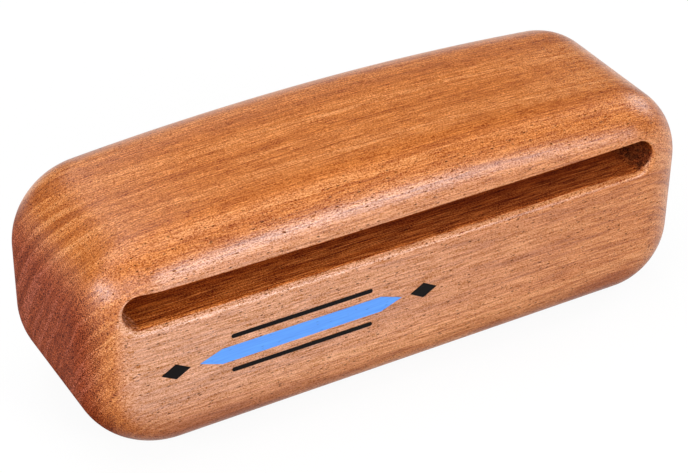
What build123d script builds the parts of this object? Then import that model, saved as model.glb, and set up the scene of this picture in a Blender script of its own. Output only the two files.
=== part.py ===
"""Concert woodblock: one rounded block of hardwood with a deep sounding slot and painted front marks.

Frame: +X runs along the block, -Y is the slotted front and +Z is up.
The origin is at the middle of the bottom, where the block rests. Sizes are in millimetres.
"""
import os

from build123d import *

# Overall size of the block
length = 203.0
depth = 69.0
height = 75.0

# The top is crowned: its middle stands this much above the ends of its arc
crown = 5.8

# Corner radii of the outline seen from the front, shaped by hand and so not quite alike
bottom_left_radius = 27.5
bottom_right_radius = 22.0
top_left_radius = 24.5
top_right_radius = 25.0

# Round-over along the whole front and back outline
edge_round = 16.0

# Sounding slot: the walls that it leaves, its height and its eased mouth
sound_bar_thickness = 15.2
left_wall = 10.5
right_wall = 16.2
back_wall = 16.0
slot_height = 11.1
lip_round = 1.0

# Painted marks: a band with pointed ends, a lozenge at each end of it and a line on each side of it
paint_thickness = 0.15
marks_margin = 4.0
band_length = 66.0
band_width = 5.2
band_point = 7.0
line_length = 46.0
line_width = 1.4
line_gap = 2.6
lozenge_length = 9.0
lozenge_width = 5.2
lozenge_gap = 3.0

# Where the slot and the marks lie on the front
front_plane = Plane(origin=(0, -depth / 2, 0), x_dir=(1, 0, 0), z_dir=(0, -1, 0))
slot_length = length - left_wall - right_wall
slot_depth = depth - back_wall
slot_x = (left_wall - right_wall) / 2
slot_z = height - sound_bar_thickness - slot_height / 2
flat_bottom_z = edge_round
flat_top_z = slot_z - slot_height / 2 - lip_round
flat_left_x = -length / 2 + edge_round
marks_z = (flat_bottom_z + flat_top_z) / 2
left_lozenge_x = flat_left_x + marks_margin + lozenge_length / 2
band_x = left_lozenge_x + lozenge_length / 2 + lozenge_gap + band_length / 2
right_lozenge_x = 2 * band_x - left_lozenge_x
line_rise = band_width / 2 + line_gap + line_width / 2

os.makedirs("parts", exist_ok=True)

# Block: crowned outline with rounded corners, rounded over front and back, slotted from the front
shoulder_z = height - crown
outline_corners = [
    ((-length / 2, shoulder_z), top_left_radius),
    ((-length / 2, 0), bottom_left_radius),
    ((length / 2, 0), bottom_right_radius),
    ((length / 2, shoulder_z), top_right_radius),
]
corner_points = [point for point, radius in outline_corners]
with BuildPart() as block:
    with BuildSketch(Plane.XZ) as outline:
        with BuildLine():
            Polyline(*corner_points)
            ThreePointArc(corner_points[-1], (0, height), corner_points[0])
        make_face()
        for point, radius in outline_corners:
            fillet(outline.vertices().sort_by_distance(point)[0], radius)
    extrude(amount=depth / 2, both=True)
    fillet(block.faces().filter_by(Axis.Y).edges(), edge_round)
    with BuildSketch(front_plane):
        with Locations((slot_x, slot_z)):
            SlotOverall(slot_length, slot_height)
    extrude(amount=-slot_depth, mode=Mode.SUBTRACT)
    fillet(block.edges(Select.NEW), lip_round)
block.part.label = "block"
export_step(block.part, "parts/block.step")

# Painted band, pointed at both ends
band_end = band_length / 2
band_shoulder = band_end - band_point
band_edge = band_width / 2
with BuildPart() as blue_band:
    with BuildSketch(front_plane):
        with Locations((band_x, marks_z)):
            Polygon(
                (-band_end, 0),
                (-band_shoulder, -band_edge),
                (band_shoulder, -band_edge),
                (band_end, 0),
                (band_shoulder, band_edge),
                (-band_shoulder, band_edge),
            )
    extrude(amount=paint_thickness)
blue_band.part.label = "blue_band"
export_step(blue_band.part, "parts/blue_band.step")

# Round-ended painted line above and below the band
for name, side in (("upper_line", 1), ("lower_line", -1)):
    with BuildPart() as line:
        with BuildSketch(front_plane):
            with Locations((band_x, marks_z + side * line_rise)):
                SlotOverall(line_length, line_width)
        extrude(amount=paint_thickness)
    line.part.label = name
    export_step(line.part, f"parts/{name}.step")

# Painted lozenge at each end of the band
for name, lozenge_x in (("left_lozenge", left_lozenge_x), ("right_lozenge", right_lozenge_x)):
    with BuildPart() as lozenge:
        with BuildSketch(front_plane):
            with Locations((lozenge_x, marks_z)):
                Polygon(
                    (-lozenge_length / 2, 0),
                    (0, -lozenge_width / 2),
                    (lozenge_length / 2, 0),
                    (0, lozenge_width / 2),
                )
        extrude(amount=paint_thickness)
    lozenge.part.label = name
    export_step(lozenge.part, f"parts/{name}.step")
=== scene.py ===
"""Dresses the woodblock: a smooth body for the block, its wood and paint, and a white set with soft light.

Lengths are in millimetres where nothing else is said. +X runs along the block, -Y is its front and +Z is up.
"""
import math
from collections import namedtuple
from functools import reduce

import bmesh
import bpy
from mathutils import Matrix, Vector


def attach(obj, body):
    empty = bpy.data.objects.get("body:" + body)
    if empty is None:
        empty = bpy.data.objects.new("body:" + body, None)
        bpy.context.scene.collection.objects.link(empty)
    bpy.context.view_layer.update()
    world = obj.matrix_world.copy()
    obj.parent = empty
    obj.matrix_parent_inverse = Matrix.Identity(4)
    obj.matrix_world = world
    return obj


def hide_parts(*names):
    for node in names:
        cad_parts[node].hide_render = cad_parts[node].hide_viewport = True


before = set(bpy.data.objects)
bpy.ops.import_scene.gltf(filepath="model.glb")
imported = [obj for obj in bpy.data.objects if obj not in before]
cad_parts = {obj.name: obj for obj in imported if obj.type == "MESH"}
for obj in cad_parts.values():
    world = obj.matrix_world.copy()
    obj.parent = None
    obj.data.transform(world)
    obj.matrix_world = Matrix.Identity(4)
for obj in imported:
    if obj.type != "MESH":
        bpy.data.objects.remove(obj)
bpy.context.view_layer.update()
scene = bpy.context.scene
scene.view_settings.view_transform = "Standard"

# One millimetre in metres
MM = 0.001

# Shape of the block, as the solid has it
LENGTH = 203.0
DEPTH = 69.0
HEIGHT = 75.0
CROWN = 5.8
BOTTOM_LEFT_RADIUS = 27.5
BOTTOM_RIGHT_RADIUS = 22.0
TOP_LEFT_RADIUS = 24.5
TOP_RIGHT_RADIUS = 25.0
EDGE_ROUND = 16.0
SOUND_BAR = 15.2
LEFT_WALL = 10.5
RIGHT_WALL = 16.2
BACK_WALL = 16.0
SLOT_HEIGHT = 11.1

# Rounds of the slot's mouth, crisp above and soft below
UPPER_LIP = 0.4
LOWER_LIP = 2.6

HALF_LENGTH = LENGTH / 2
FRONT = -DEPTH / 2
BACK = DEPTH / 2
SLOT_LEFT = LEFT_WALL - HALF_LENGTH
SLOT_RIGHT = HALF_LENGTH - RIGHT_WALL
SLOT_BACK = BACK - BACK_WALL
SLOT_TOP = HEIGHT - SOUND_BAR
SLOT_RADIUS = SLOT_HEIGHT / 2
SLOT_Z = SLOT_TOP - SLOT_RADIUS

# Ends of the slot's straight stretch
SLOT_FIRST_X = SLOT_LEFT + SLOT_RADIUS
SLOT_LAST_X = SLOT_RIGHT - SLOT_RADIUS

# Circle of the crowned top
CROWN_RADIUS = (HALF_LENGTH ** 2 + CROWN ** 2) / (2 * CROWN)
CROWN_Z = HEIGHT - CROWN_RADIUS

# Spacing of the body's mesh round its outline
MESH_STEP = 1.3

# Rings on the slot's back, as shares of the way out to its wall
SLOT_BACK_SHARES = (0, 0.35, 0.7, 1)

# How many rings each other stretch of the body has
WALL_RINGS = 20
LIP_RINGS = 8
FRONT_RINGS = 56
SIDE_RINGS = 14
BACK_ROUND_RINGS = 16
BACK_RINGS = 10

# Powers that crowd the rings towards the slot's mouth and towards the outline
MOUTH_CROWDING = 0.7
EDGE_CROWDING = 2

# Points closer than this become one
MERGE_DISTANCE = 0.01

# A line over the front: its start on the slot's axis, its way, its length and the lip that it crosses
Ray = namedtuple("Ray", "root way reach lip")


def top_corner(radius):
    """Height of a top corner's centre, and the angle at which the corner meets the crown."""
    across = HALF_LENGTH - radius
    rise = math.sqrt((CROWN_RADIUS - radius) ** 2 - across ** 2)
    return CROWN_Z + rise, math.atan2(rise, across)


def outline_arcs():
    """Arcs of the front outline, counterclockwise: x, z, radius, first angle and last angle."""
    right_z, right_angle = top_corner(TOP_RIGHT_RADIUS)
    left_z, left_angle = top_corner(TOP_LEFT_RADIUS)
    left_angle = math.pi - left_angle
    return [
        (HALF_LENGTH - BOTTOM_RIGHT_RADIUS, BOTTOM_RIGHT_RADIUS, BOTTOM_RIGHT_RADIUS, -math.pi / 2, 0),
        (HALF_LENGTH - TOP_RIGHT_RADIUS, right_z, TOP_RIGHT_RADIUS, 0, right_angle),
        (0, CROWN_Z, CROWN_RADIUS, right_angle, left_angle),
        (TOP_LEFT_RADIUS - HALF_LENGTH, left_z, TOP_LEFT_RADIUS, left_angle, math.pi),
        (BOTTOM_LEFT_RADIUS - HALF_LENGTH, BOTTOM_LEFT_RADIUS, BOTTOM_LEFT_RADIUS, math.pi, math.pi * 1.5),
    ]


def outline_points(arcs):
    """Points round the outline with their outward normals: x, z, normal x and normal z."""
    points = []
    for arc, following in zip(arcs, arcs[1:] + arcs[:1]):
        x, z, radius, first, last = arc
        count = math.ceil(radius * (last - first) / MESH_STEP)
        for index in range(count):
            angle = first + (last - first) * index / count
            normal_x = math.cos(angle)
            normal_z = math.sin(angle)
            points.append((x + radius * normal_x, z + radius * normal_z, normal_x, normal_z))

        # The straight run from this arc to the next one
        normal = Vector((math.cos(last), math.sin(last)))
        start = Vector((x, z)) + radius * normal
        run = Vector(following[:2]) + following[2] * normal - start
        count = round(run.length / MESH_STEP)
        for index in range(count):
            place = start + run * (index / count)
            points.append((*place, *normal))
    return points


def edge_distance(arcs, x, z):
    """How far a point of the front lies inside the outline."""
    near = min(x + HALF_LENGTH, HALF_LENGTH - x, z, CROWN_RADIUS - math.hypot(x, z - CROWN_Z))
    for centre_x, centre_z, radius, first, last in arcs:
        turn = (math.atan2(z - centre_z, x - centre_x) - first) % math.tau
        if turn <= last - first:
            near = min(near, radius - math.hypot(x - centre_x, z - centre_z))
    return max(near, 0.0)


def front_y(arcs, x, z):
    """The front surface: flat in the middle and rounded over to the outline."""
    short = max(EDGE_ROUND - edge_distance(arcs, x, z), 0.0)
    return FRONT + EDGE_ROUND - math.sqrt(EDGE_ROUND ** 2 - short ** 2)


def slot_rays(outline):
    """A ray from the slot's axis to each outline point, with the size of the lip that it crosses."""
    rays = []
    for x, z, _, _ in outline:
        root = Vector((min(max(x, SLOT_FIRST_X), SLOT_LAST_X), SLOT_Z))
        reach = Vector((x, z)) - root
        way = reach.normalized()
        lip = UPPER_LIP + (LOWER_LIP - UPPER_LIP) * (1 - way.y) / 2
        rays.append(Ray(root, way, reach.length, lip))
    return rays


def slot_rings(arcs, rays):
    """Rings from the middle of the slot's back to its wall, along the wall and over the lip."""
    rings = []
    for share in SLOT_BACK_SHARES:
        wall = [ray.root + ray.way * (SLOT_RADIUS * share) for ray in rays]
        rings.append([(x, SLOT_BACK, z) for x, z in wall])

    mouth = [front_y(arcs, x, z) + ray.lip for (x, z), ray in zip(wall, rays)]
    for index in range(1, WALL_RINGS):
        share = (index / WALL_RINGS) ** MOUTH_CROWDING
        rings.append([(x, SLOT_BACK + (y - SLOT_BACK) * share, z) for (x, z), y in zip(wall, mouth)])

    for index in range(LIP_RINGS + 1):
        turn = math.pi / 2 * (1 - index / LIP_RINGS)
        ring = []
        for ray in rays:
            x, z = ray.root + ray.way * (SLOT_RADIUS + ray.lip * (1 - math.sin(turn)))
            ring.append((x, front_y(arcs, x, z) + ray.lip * (1 - math.cos(turn)), z))
        rings.append(ring)
    return rings


def front_rings(arcs, rays):
    """Rings over the front, from the slot's lip out to the outline."""
    rings = []
    for index in range(1, FRONT_RINGS + 1):
        share = 1 - (1 - index / FRONT_RINGS) ** EDGE_CROWDING
        ring = []
        for ray in rays:
            start = SLOT_RADIUS + ray.lip
            x, z = ray.root + ray.way * (start + (ray.reach - start) * share)
            ring.append((x, front_y(arcs, x, z), z))
        rings.append(ring)
    return rings


def back_rings(outline):
    """Rings along the sides, over the round at the back and in to the middle of the back."""
    rings = []
    for index in range(1, SIDE_RINGS + 1):
        y = FRONT + EDGE_ROUND + (DEPTH - 2 * EDGE_ROUND) * index / SIDE_RINGS
        rings.append([(x, y, z) for x, z, _, _ in outline])

    for index in range(1, BACK_ROUND_RINGS + 1):
        turn = math.pi / 2 * index / BACK_ROUND_RINGS
        inset = EDGE_ROUND * (1 - math.cos(turn))
        y = BACK - EDGE_ROUND * (1 - math.sin(turn))
        ring = []
        for x, z, normal_x, normal_z in outline:
            ring.append((x - normal_x * inset, y, z - normal_z * inset))
        rings.append(ring)

    rim = rings[-1]
    middle_z = HEIGHT / 2
    middle_end = HALF_LENGTH - middle_z
    for index in range(1, BACK_RINGS + 1):
        share = index / BACK_RINGS
        ring = []
        for x, y, z in rim:
            middle_x = min(max(x, -middle_end), middle_end)
            ring.append((x + (middle_x - x) * share, y, z + (middle_z - z) * share))
        rings.append(ring)
    return rings


def make_body():
    """The block's surface as one closed mesh of even quads, in place of the block's node."""
    arcs = outline_arcs()
    outline = outline_points(arcs)
    rays = slot_rays(outline)
    places = slot_rings(arcs, rays) + front_rings(arcs, rays) + back_rings(outline)

    shell = bmesh.new()
    rings = [[shell.verts.new(Vector(point) * MM) for point in ring] for ring in places]
    for inner, outer in zip(rings, rings[1:]):
        for index in range(len(inner)):
            shell.faces.new((inner[index - 1], inner[index], outer[index], outer[index - 1]))
    corner = set(rings[len(SLOT_BACK_SHARES) - 1])
    bmesh.ops.remove_doubles(shell, verts=rings[0] + rings[-1], dist=MERGE_DISTANCE * MM)
    bmesh.ops.recalc_face_normals(shell, faces=shell.faces)

    # All of it is smooth but the corner where the slot's walls meet its back
    for face in shell.faces:
        face.smooth = True
    for edge in shell.edges:
        edge.smooth = not (edge.verts[0] in corner and edge.verts[1] in corner)

    mesh = bpy.data.meshes.new("block_body")
    shell.to_mesh(mesh)
    shell.free()
    body = bpy.data.objects.new("block_body", mesh)
    scene.collection.objects.link(body)
    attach(body, "root")
    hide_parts("block")
    return body


# A noise: the size of its features along three axes, how many finer layers it has and how strong they are
Noise = namedtuple("Noise", "size detail roughness")

# Depth of the fine relief on wood and paint
BUMP_DEPTH = 0.1


class Graph:
    """A node tree and short ways to add to it."""

    # Numbers of the colour sockets on a node that mixes
    FIRST_COLOUR = 6
    SECOND_COLOUR = 7
    MIXED_COLOUR = 2

    def __init__(self, tree):
        self.tree = tree
        tree.nodes.clear()

    def node(self, kind, inputs=None, **settings):
        """A new node with its inputs linked or set."""
        made = self.tree.nodes.new(kind)
        for key, value in settings.items():
            setattr(made, key, value)
        for key, value in (inputs or {}).items():
            if isinstance(value, bpy.types.NodeSocket):
                self.tree.links.new(value, made.inputs[key])
            else:
                made.inputs[key].default_value = value
        return made

    def math(self, operation, *values):
        return self.node("ShaderNodeMath", dict(enumerate(values)), operation=operation).outputs[0]

    def vector_math(self, operation, *values):
        return self.node("ShaderNodeVectorMath", dict(enumerate(values)), operation=operation).outputs

    def product(self, *values):
        return reduce(lambda first, second: self.math("MULTIPLY", first, second), values)

    def largest(self, *values):
        return reduce(lambda first, second: self.math("MAXIMUM", first, second), values)

    def total(self, start, *terms):
        """A start with each term's value times its weight added."""
        for value, weight in terms:
            start = self.math("MULTIPLY_ADD", value, weight, start)
        return start

    def absolute(self, value):
        return self.math("ABSOLUTE", value)

    def minus(self, first, second):
        return self.math("SUBTRACT", first, second)

    def vector(self, x, y, z):
        return self.node("ShaderNodeCombineXYZ", {0: x, 1: y, 2: z}).outputs[0]

    def parts(self, vector):
        """The x, y and z of a vector."""
        return self.node("ShaderNodeSeparateXYZ", {0: vector}).outputs

    def stretch(self, place, size):
        """Coordinates counted in these lengths along the three axes."""
        return self.vector_math("DIVIDE", place, size)[0]

    def noise(self, place, kind):
        inputs = {
            "Vector": self.stretch(place, kind.size),
            "Scale": 1.0,
            "Detail": kind.detail,
            "Roughness": kind.roughness,
        }
        return self.node("ShaderNodeTexNoise", inputs).outputs["Fac"]

    def span(self, value, low_shade, high, to_low=0.0, to_high=1.0):
        """A smooth step from one value to another."""
        inputs = {"Value": value, "From Min": low_shade, "From Max": high, "To Min": to_low, "To Max": to_high}
        return self.node("ShaderNodeMapRange", inputs, interpolation_type="SMOOTHSTEP").outputs[0]

    def mix(self, factor, first, second, blend="MIX"):
        """Two colours mixed, each one linked or given as red, green and blue."""
        first, second = [(*side, 1) if isinstance(side, tuple) else side for side in (first, second)]
        inputs = {0: factor, self.FIRST_COLOUR: first, self.SECOND_COLOUR: second}
        made = self.node("ShaderNodeMix", inputs, data_type="RGBA", blend_type=blend)
        return made.outputs[self.MIXED_COLOUR]

    def tint(self, factor, colour, by):
        return self.mix(factor, colour, by, "MULTIPLY")

    def ramp(self, value, stops):
        """A colour that runs through these stops, each a position and a colour."""
        made = self.node("ShaderNodeValToRGB", {0: value})
        steps = made.color_ramp.elements
        while len(steps) < len(stops):
            steps.new(1.0)
        for step, (position, colour) in zip(steps, stops):
            step.position = position
            step.color = (*colour, 1)
        return made.outputs[0]

    def surface(self, colour, rough, gloss, relief, bump_strength):
        """A glossy surface with fine relief, as the material's output."""
        inputs = {"Strength": bump_strength, "Distance": BUMP_DEPTH * MM, "Height": relief}
        bump = self.node("ShaderNodeBump", inputs).outputs[0]
        inputs = {"Base Color": colour, "Roughness": rough, "Normal": bump, "Specular IOR Level": gloss}
        shader = self.node("ShaderNodeBsdfPrincipled", inputs)
        self.node("ShaderNodeOutputMaterial", {"Surface": shader.outputs[0]})


def new_material(name):
    """A material with an empty node tree, and the graph that fills it."""
    material = bpy.data.materials.new(name)
    material.use_nodes = True
    return material, Graph(material.node_tree)


def object_place(graph):
    """Position on the block in millimetres."""
    place = graph.node("ShaderNodeTexCoord").outputs["Object"]
    return graph.node("ShaderNodeVectorMath", {0: place, "Scale": 1 / MM}, operation="SCALE").outputs[0]


# Pores: the size of the cells that hold one each, the share of them that do, and the core and rim of a pore
Pores = namedtuple("Pores", "cell kept core rim")
LARGE_PORES = Pores((3.2, 1.1, 1.1), 0.55, 0.10, 0.22)
SMALL_PORES = Pores((1.5, 0.7, 0.7), 0.6, 0.14, 0.24)


def pore_layer(graph, place, pores):
    """1 in the pores, which are short dashes along the grain, and 0 between them."""
    inputs = {"Vector": graph.stretch(place, pores.cell), "Scale": 1.0}
    cells = graph.node("ShaderNodeTexVoronoi", inputs).outputs
    chance = graph.node("ShaderNodeSeparateColor", {0: cells["Color"]}).outputs[0]
    dashes = graph.span(cells["Distance"], pores.rim, pores.core)
    return graph.product(dashes, graph.math("LESS_THAN", chance, pores.kept))


# Steps that part the wood's zones: where each one begins and ends and, if not 0 and 1, its values there
WALL_STEP = (SLOT_RADIUS + 0.4, SLOT_RADIUS + 0.05)
LIP_STEP = (SLOT_RADIUS + LOWER_LIP + 0.6, SLOT_RADIUS + LOWER_LIP - 0.6)
LIP_HEIGHT = (SLOT_Z, SLOT_Z - 3.0)
END_FACING = (0.56, 0.98)
FRONT_FACING = (0.8, 1.0)
TURNED_FACING = (0.2, 0.7)
TOP_FACING = (0.85, 0.99)
STRUCK_ALONG = (92.0, 45.0, 0.4, 1.0)
STRUCK_ACROSS = (24.0, 6.0, 0.3, 1.0)

# The slot's zone ends just past its back
WALL_LAST_Y = SLOT_BACK + 0.2

# End grain shows less where the surface turns up, and more where it turns down
END_RISE = -0.2

# Shares from 0 to 1, but for the distance past the slot's straight stretch and the rise of the normal
Zones = namedtuple("Zones", "inside past_end end front turned worn lip rise")


def find_zones(graph, place):
    """How far each point lies in the slot, on the ends, front or back, on the worn top or the lower lip."""
    x, y, z = graph.parts(place)
    facing_x, facing_y, rise = graph.parts(graph.node("ShaderNodeNewGeometry").outputs["Normal"])

    # The slot's walls, by the distance from its axis
    from_middle = graph.absolute(graph.minus(x, (SLOT_LEFT + SLOT_RIGHT) / 2))
    past_end = graph.largest(graph.minus(from_middle, (SLOT_LAST_X - SLOT_FIRST_X) / 2), 0.0)
    off_axis = graph.vector_math("LENGTH", graph.vector(past_end, graph.minus(z, SLOT_Z), 0))["Value"]
    inside = graph.product(graph.span(off_axis, *WALL_STEP), graph.math("LESS_THAN", y, WALL_LAST_Y))
    outside = graph.minus(1.0, inside)
    lip = graph.product(graph.span(off_axis, *LIP_STEP), outside, graph.span(z, *LIP_HEIGHT))

    # The outer faces, by the way that they face, and the part of the top that is struck
    end = graph.total(graph.absolute(facing_x), (rise, END_RISE))
    end = graph.product(graph.span(end, *END_FACING), outside)
    front = graph.product(graph.span(graph.absolute(facing_y), *FRONT_FACING), outside)
    turned = graph.product(graph.span(graph.absolute(facing_x), *TURNED_FACING), outside)
    struck = graph.product(graph.span(graph.absolute(x), *STRUCK_ALONG), graph.span(y, *STRUCK_ACROSS))
    worn = graph.product(graph.span(rise, *TOP_FACING), struck)
    return Zones(inside, past_end, end, front, turned, worn, lip, rise)


# Growth layers lean back by this angle, and the starts say where in the tree the block was cut
GRAIN_TILT = math.radians(32)
LAYER_START = 1289.0
ALONG_START = 105.0

# Waviness of the layers, and how far it pushes them
SLOW_WAVES = Noise((220, 70, 70), 1.0, 0.5)
SLOW_PUSH = 4.0
QUICK_WAVES = Noise((60, 16, 16), 2.0, 0.5)
QUICK_PUSH = 1.6

# Figure of the layers: sizes along the grain, across the layers and along them, with the share in the tone
BANDS = Noise((420, 6.5, 300), 2.0, 0.5)
BAND_SHARE = 0.7
RINGS = Noise((300, 2.4, 120), 1.0, 0.5)
RING_SHARE = 0.22
TURNED_RING_SHARE = 0.85
STREAKS = Noise((22, 0.55, 8), 2.0, 0.5)
STREAK_STEP = (0.32, 0.56)
STREAK_SHARE = 0.27

# Levels at which a noise and the streaks leave the tone as it is
NOISE_LEVEL = 0.5
STREAK_LEVEL = 0.74

# What the slot's walls, and the front and back, add to the tone's contrast
SLOT_CONTRAST = 0.9
FRONT_CONTRAST = 0.15

# Colours of the wood from its darkest tone to its palest
MIDDLE_TONE = 0.5
DARK_WOOD = (0.35, 0.083, 0.010)
MIDDLE_WOOD = (0.51, 0.150, 0.026)
PALE_WOOD = (0.67, 0.262, 0.083)
WOOD_STOPS = [(0.2, DARK_WOOD), (MIDDLE_TONE, MIDDLE_WOOD), (0.8, PALE_WOOD)]


def wood_figure(graph, place, zones):
    """Colour of the growth layers, which run along the block and lean back with a slow waviness."""
    x, y, z = graph.parts(place)
    cosine = math.cos(GRAIN_TILT)
    sine = math.sin(GRAIN_TILT)
    slow = graph.noise(place, SLOW_WAVES)
    quick = graph.noise(place, QUICK_WAVES)
    layer = graph.math("ADD", graph.total(0.0, (z, sine), (y, cosine)), LAYER_START)
    layer = graph.total(layer, (slow, SLOW_PUSH), (quick, QUICK_PUSH))
    along = graph.math("ADD", graph.total(0.0, (y, -sine), (z, cosine)), ALONG_START)
    grain = graph.vector(x, layer, along)

    bands = graph.minus(graph.noise(grain, BANDS), NOISE_LEVEL)
    rings = graph.minus(graph.noise(grain, RINGS), NOISE_LEVEL)
    streaks = graph.minus(graph.span(graph.noise(grain, STREAKS), *STREAK_STEP), STREAK_LEVEL)
    ring_share = graph.total(RING_SHARE, (zones.turned, TURNED_RING_SHARE))
    tone = graph.total(0.0, (bands, BAND_SHARE), (streaks, STREAK_SHARE), (rings, ring_share))
    contrast = graph.total(1.0, (zones.front, FRONT_CONTRAST), (zones.inside, SLOT_CONTRAST))
    return graph.ramp(graph.total(MIDDLE_TONE, (tone, contrast)), WOOD_STOPS)


# End grain drinks the finish and turns darker and redder
END_GRAIN_TINT = (0.53, 0.31, 0.43)

# Painted sheen: front, back and the slot's lower lip get a pale haze for the lights' broad reflection,
# stronger to the left, and less near the lower edge and above the slot
FRONT_PAINTED_SHEEN = (0.75, 0.45, 0.32)
SHEEN_ALONG = (90.0, -70.0, 0.06, 0.42)
SHEEN_LOW = (8.0, 26.0, 0.3, 1.0)
SHEEN_HIGH = (SLOT_TOP + 3.0, SLOT_TOP - 3.0, 0.6, 1.0)

# Painted shade near the floor: the lower edge is darker towards the ends
LOW_SHADE_TINT = (0.62, 0.43, 0.34)
LOW_SHADE_HEIGHT = (24.0, 4.0)
LOW_SHADE_ALONG = (10.0, 85.0)

# The slot's walls are darker as raw wood, with painted shade deepening inwards, and darker to the right
SLOT_TINT = (0.85, 0.62, 0.36)
SLOT_DEEP_SHADE = (0.80, 0.41, 0.20)
SLOT_RIGHT_TINT = (0.72, 0.56, 0.46)
SLOT_SHADE_INWARD = (FRONT + 8.0, FRONT + 20.0)
SLOT_ALONG = (-70.0, 50.0)

# The slot's round ends are mottled; painted light makes the left end pale and painted shade makes the right
# end dark
CUT_MARKS = Noise((1.6, 1.6, 0.9), 2.0, 0.6)
CUT_STEP = (0.0, 3.0, 0.0, 0.8)
CUT_PAINTED_LIGHT = (0.55, 0.24, 0.13)
CUT_PAINTED_SHADE = (0.030, 0.005, 0.001)
CUT_RED = (0.26, 0.050, 0.010)
LIT_LEFT_CUT_STOPS = [(0.38, DARK_WOOD), (0.62, CUT_PAINTED_LIGHT)]
SHADED_RIGHT_CUT_STOPS = [(0.40, CUT_PAINTED_SHADE), (0.66, CUT_RED)]


def stain_wood(graph, colour, place, zones):
    """The wood's colour changed from zone to zone: painted sheen on the front, painted shade low down and
    deep in the slot, and painted light and shade on the slot's ends.
    """
    x, y, z = graph.parts(place)
    colour = graph.tint(zones.end, colour, END_GRAIN_TINT)
    # Painted sheen: a pale haze on the front, back and lower lip for the lights' broad reflection
    painted_sheen = graph.product(graph.largest(zones.front, zones.lip), graph.span(x, *SHEEN_ALONG))
    painted_sheen = graph.product(painted_sheen, graph.span(z, *SHEEN_LOW), graph.span(z, *SHEEN_HIGH))
    colour = graph.mix(painted_sheen, colour, FRONT_PAINTED_SHEEN)
    # Painted shade: darker low down near the floor, towards the ends
    low_shade = graph.product(graph.span(z, *LOW_SHADE_HEIGHT), graph.span(graph.absolute(x), *LOW_SHADE_ALONG))
    colour = graph.tint(low_shade, colour, LOW_SHADE_TINT)

    # Raw wood in the slot is darker, with painted shade that deepens inwards
    slot_tint_and_shade = graph.mix(graph.span(y, *SLOT_SHADE_INWARD), SLOT_TINT, SLOT_DEEP_SHADE)
    slot_tint_and_shade = graph.tint(graph.span(x, *SLOT_ALONG), slot_tint_and_shade, SLOT_RIGHT_TINT)
    colour = graph.tint(zones.inside, colour, slot_tint_and_shade)
    marks = graph.noise(place, CUT_MARKS)
    # Painted light on the slot's left end and painted shade on its right end
    right = graph.math("GREATER_THAN", x, 0.0)
    lit_and_shaded_cut = graph.mix(right, graph.ramp(marks, LIT_LEFT_CUT_STOPS), graph.ramp(marks, SHADED_RIGHT_CUT_STOPS))
    return graph.mix(graph.product(zones.inside, graph.span(zones.past_end, *CUT_STEP)), colour, lit_and_shaded_cut)


# Fine marks: fibres along the grain and a speckle, and how strong they are from zone to zone
FIBRES = Noise((7.0, 0.4, 0.4), 1.0, 0.5)
FIBRE_STRENGTH = 1.3
SLOT_FIBRES = 1.4
SPECKLE = Noise((0.45, 0.28, 0.28), 1.0, 0.6)
SPECKLE_STRENGTH = 2.4
END_SPECKLE = 4.0
FRONT_SPECKLE = -1.1
SLOT_SPECKLE = 1.5

# How far the fine marks change red, green and blue
FINE_TINT = (1.0, 1.5, 2.4)
UNCHANGED = (1.0, 1.0, 1.0)


def mark_wood(graph, colour, place, speckle, zones):
    """The wood's colour with fine fibres and a speckle, which is strongest on the end grain."""
    speckle_strength = graph.total(
        SPECKLE_STRENGTH,
        (zones.end, END_SPECKLE),
        (zones.front, FRONT_SPECKLE),
        (zones.inside, SLOT_SPECKLE),
    )
    fibre_strength = graph.total(FIBRE_STRENGTH, (zones.inside, SLOT_FIBRES))
    specks = graph.minus(speckle, NOISE_LEVEL)
    fibres = graph.minus(graph.noise(place, FIBRES), NOISE_LEVEL)
    fine = graph.total(0.0, (specks, speckle_strength), (fibres, fibre_strength))
    return graph.tint(1.0, colour, graph.vector_math("MULTIPLY_ADD", fine, FINE_TINT, UNCHANGED)[0])


# Pores are dark dots and dashes, fainter where the top is worn
PORE_BROWN = (0.035, 0.008, 0.003)
PORE_COVER = 0.85
SMALL_PORE_COVER = 0.8
WORN_PORES = -0.6

# Roughness of the finish, and what the speckle and each zone add to it
ROUGHNESS = 0.22
SPECKLE_ROUGHNESS = 0.16
SLOT_ROUGHNESS = 0.4
END_ROUGHNESS = 0.47
WORN_ROUGHNESS = 0.2

# Gloss of the finish: none in the pores, uneven with the speckle, and less on faces that turn down
GLOSS = 0.76
GLOSS_RISE = (-0.42, 0.22, 0.08, 1.0)
GLOSS_SPECKLE = (0.35, 0.65, 0.5, 1.4)

# Dullness of the ends and the lower lip, where the slot and the worn top count as 1
END_DULLNESS = 0.87
LIP_DULLNESS = 0.4

# What full dullness adds to the gloss, as a share of it
DULL_GLOSS = -0.75

# Strength of the wood's relief
WOOD_BUMP = 0.45


def wood_gloss(graph, speckle, pores, zones):
    """How much the finish shines from zone to zone."""
    end_dull = graph.product(zones.end, END_DULLNESS)
    lip_dull = graph.product(zones.lip, LIP_DULLNESS)
    dull = graph.largest(end_dull, zones.inside, zones.worn, lip_dull)
    return graph.product(
        graph.total(GLOSS, (pores, -GLOSS)),
        graph.span(zones.rise, *GLOSS_RISE),
        graph.span(speckle, *GLOSS_SPECKLE),
        graph.total(1.0, (dull, DULL_GLOSS)),
    )


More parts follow.
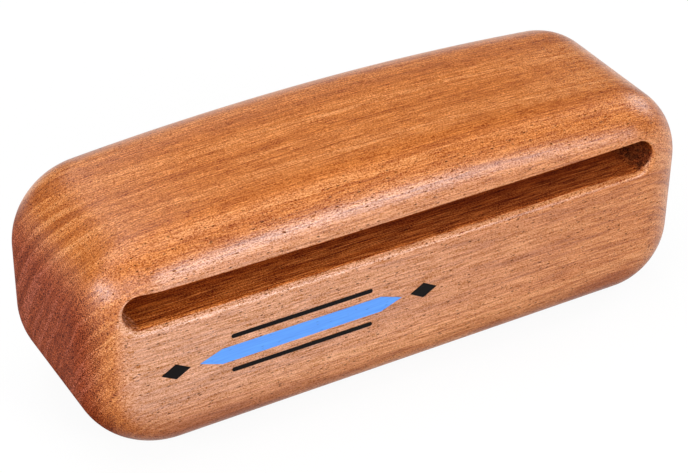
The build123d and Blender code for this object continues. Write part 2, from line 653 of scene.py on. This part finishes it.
def make_wood():
    """Straight-grained orange-brown hardwood with a satin finish, one pattern through the whole block."""
    material, graph = new_material("hardwood")
    place = object_place(graph)
    zones = find_zones(graph, place)
    speckle = graph.noise(place, SPECKLE)
    colour = wood_figure(graph, place, zones)
    colour = stain_wood(graph, colour, place, zones)
    colour = mark_wood(graph, colour, place, speckle, zones)

    small_pores = graph.product(pore_layer(graph, place, SMALL_PORES), SMALL_PORE_COVER)
    pores = graph.largest(pore_layer(graph, place, LARGE_PORES), small_pores)
    pores = graph.product(pores, graph.total(1.0, (zones.worn, WORN_PORES)))
    colour = graph.mix(graph.product(pores, PORE_COVER), colour, PORE_BROWN)

    rough = graph.total(
        ROUGHNESS,
        (speckle, SPECKLE_ROUGHNESS),
        (zones.inside, SLOT_ROUGHNESS),
        (zones.end, END_ROUGHNESS),
        (zones.worn, WORN_ROUGHNESS),
    )
    gloss = wood_gloss(graph, speckle, pores, zones)
    relief = graph.total(speckle, (pores, -1.0))
    graph.surface(colour, rough, gloss, relief, WOOD_BUMP)
    return material


# Colours of the painted marks
BLUE = (0.13, 0.36, 1.0)
BLACK = (0.004, 0.003, 0.003)

# Brush marks in the paint: a low and a high level with the paint's shade at each, and their relief
BRUSH = Noise((12.0, 0.6, 0.6), 2.0, 0.6)
BRUSH_DARK = (0.3, 0.88)
BRUSH_PALE = (0.7, 1.1)
BRUSH_RELIEF = 0.4

# The wood's pores show through the paint
PAINTED_PORE_SHADE = 0.4
PAINTED_PORE_COVER = 0.35

# The paint's sheen, and the strength of its relief
PAINT_ROUGHNESS = 0.35
BRUSH_ROUGHNESS = 0.15
PAINT_GLOSS = 0.08
PAINT_BUMP = 0.4


def shaded(colour, by):
    """A colour made darker or paler, up to full."""
    return tuple(min(part * by, 1.0) for part in colour)


def make_paint(name, colour):
    """Brushed enamel thin enough that the wood's pores show through it."""
    material, graph = new_material(name)
    place = object_place(graph)
    brush = graph.noise(place, BRUSH)
    pores = pore_layer(graph, place, LARGE_PORES)
    shade = graph.ramp(brush, [(position, shaded(colour, by)) for position, by in (BRUSH_DARK, BRUSH_PALE)])
    shade = graph.mix(graph.product(pores, PAINTED_PORE_COVER), shade, shaded(colour, PAINTED_PORE_SHADE))
    rough = graph.total(PAINT_ROUGHNESS, (brush, BRUSH_ROUGHNESS))
    relief = graph.total(graph.product(brush, BRUSH_RELIEF), (pores, -1.0))
    graph.surface(shade, rough, PAINT_GLOSS, relief, PAINT_BUMP)
    return material


def dress(piece, material):
    """Gives a piece one material."""
    piece.data.materials.clear()
    piece.data.materials.append(material)


WHITE = (1, 1, 1, 1)

# Strength of the even light from all sides
AMBIENT = 0.18

# Share of the light on the floor that it throws back, and share of its white that shadows can darken
FLOOR_LIGHT = 0.3
SHADOW_SHARE = 0.08

# The floor's reach to each side in metres, and how far it lies under the block
FLOOR_REACH = 15.0
FLOOR_DROP = 0.2


def background_rays(graph):
    """1 for the rays that see the white background, 0 for those that carry its light."""
    rays = graph.node("ShaderNodeLightPath").outputs
    return graph.largest(rays["Is Camera Ray"], rays["Is Glossy Ray"], rays["Is Transmission Ray"])


def make_sky():
    """A faint even light from all sides."""
    world = bpy.data.worlds.new("studio")
    scene.world = world
    world.use_nodes = True
    graph = Graph(world.node_tree)
    sky = graph.node("ShaderNodeBackground", {"Color": WHITE, "Strength": AMBIENT})
    graph.node("ShaderNodeOutputWorld", {"Surface": sky.outputs[0]})


def make_floor():
    """A white floor with a faint shadow, which throws back less light than its white would."""
    material, graph = new_material("floor_white")
    seen = background_rays(graph)
    shade = graph.total(FLOOR_LIGHT, (seen, 1 - FLOOR_LIGHT))
    matt = graph.node("ShaderNodeBsdfDiffuse", {"Color": graph.vector(shade, shade, shade)})
    glow = graph.node("ShaderNodeEmission", {"Color": WHITE, "Strength": 1.0})
    share = graph.product(seen, 1 - SHADOW_SHARE)
    surface = graph.node("ShaderNodeMixShader", {0: share, 1: matt.outputs[0], 2: glow.outputs[0]})
    graph.node("ShaderNodeOutputMaterial", {"Surface": surface.outputs[0]})

    corners = [(x * FLOOR_REACH, y * FLOOR_REACH, 0) for x, y in ((-1, -1), (1, -1), (1, 1), (-1, 1))]
    mesh = bpy.data.meshes.new("floor")
    mesh.from_pydata(corners, [], [(0, 1, 2, 3)])
    mesh.materials.append(material)
    floor = bpy.data.objects.new("floor", mesh)
    floor.location.z = -FLOOR_DROP * MM
    scene.collection.objects.link(floor)


def direction(azimuth, elevation):
    """The way out from the block, in degrees from its front towards the right and up."""
    azimuth = math.radians(azimuth)
    elevation = math.radians(elevation)
    level = math.cos(elevation)
    return Vector((math.sin(azimuth) * level, -math.cos(azimuth) * level, math.sin(elevation)))


# Height at which the lights aim
AIM_HEIGHT = 40.0


def add_softbox(name, azimuth, elevation, width, height, power, distance=1.0):
    """A rectangular soft light aimed at the block, with its sizes in metres and its power in watts."""
    way = direction(azimuth, elevation)
    lamp = bpy.data.lights.new(name, "AREA")
    lamp.shape = "RECTANGLE"
    lamp.size = width
    lamp.size_y = height
    lamp.energy = power
    light = bpy.data.objects.new(name, lamp)
    light.location = Vector((0, 0, AIM_HEIGHT * MM)) + way * distance
    light.rotation_euler = way.to_track_quat("Z", "Y").to_euler()
    scene.collection.objects.link(light)


def add_lights():
    """Keys at the front right, fills at the left and right, and lights above and behind."""
    add_softbox("key", azimuth=21, elevation=20, width=0.44, height=0.22, power=3.45)
    add_softbox("right_key", azimuth=36, elevation=15, width=0.2, height=0.2, power=0.6)
    add_softbox("left_key", azimuth=8, elevation=25, width=0.25, height=0.25, power=1.3)
    add_softbox("upper_key", azimuth=30, elevation=48, width=0.4, height=0.4, power=0.3)
    add_softbox("left_side", azimuth=-75, elevation=21, width=0.7, height=0.2, power=5.2)
    add_softbox("left_fill", azimuth=-32, elevation=26, width=0.4, height=0.4, power=1.2, distance=0.7)
    add_softbox("right_side", azimuth=96, elevation=26, width=0.5, height=0.5, power=2.9)
    add_softbox("overhead", azimuth=0, elevation=88, width=0.6, height=0.6, power=1.3)
    add_softbox("back", azimuth=180, elevation=54, width=0.5, height=0.5, power=2.4)
    add_softbox("low_back", azimuth=156, elevation=8, width=0.6, height=0.2, power=0.55)
    add_softbox("rear_left", azimuth=-115, elevation=57, width=0.6, height=0.5, power=1.5, distance=0.9)


# The camera: its direction and roll in degrees, what it looks at, how far off it is, its sensor and its lens
CAMERA_AZIMUTH = -30.3
CAMERA_ELEVATION = 34.08
CAMERA_ROLL = 0.71
CAMERA_TARGET = (2.24, 9.18, 25.56)
CAMERA_DISTANCE = 674.4
SENSOR_WIDTH = 36.0
FOCAL_LENGTH = 113.75


def add_camera():
    """A view from the front left and above, through a long lens."""
    back = direction(CAMERA_AZIMUTH, CAMERA_ELEVATION)
    right = Vector((0, 0, 1)).cross(back).normalized()
    up = back.cross(right)
    roll = math.radians(CAMERA_ROLL)
    rolled_right = right * math.cos(roll) + up * math.sin(roll)
    rolled_up = up * math.cos(roll) - right * math.sin(roll)
    placed = Matrix((rolled_right, rolled_up, back)).transposed().to_4x4()
    placed.translation = (Vector(CAMERA_TARGET) + back * CAMERA_DISTANCE) * MM
    lens = bpy.data.cameras.new("camera")
    lens.sensor_width = SENSOR_WIDTH
    lens.lens = FOCAL_LENGTH
    camera = bpy.data.objects.new("camera", lens)
    camera.matrix_world = placed
    scene.collection.objects.link(camera)
    scene.camera = camera


wood = make_wood()
blue = make_paint("blue_paint", BLUE)
black = make_paint("black_paint", BLACK)
dress(make_body(), wood)
dress(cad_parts["blue_band"], blue)
for name in ("upper_line", "lower_line", "left_lozenge", "right_lozenge"):
    dress(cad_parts[name], black)
make_sky()
make_floor()
add_lights()
add_camera()
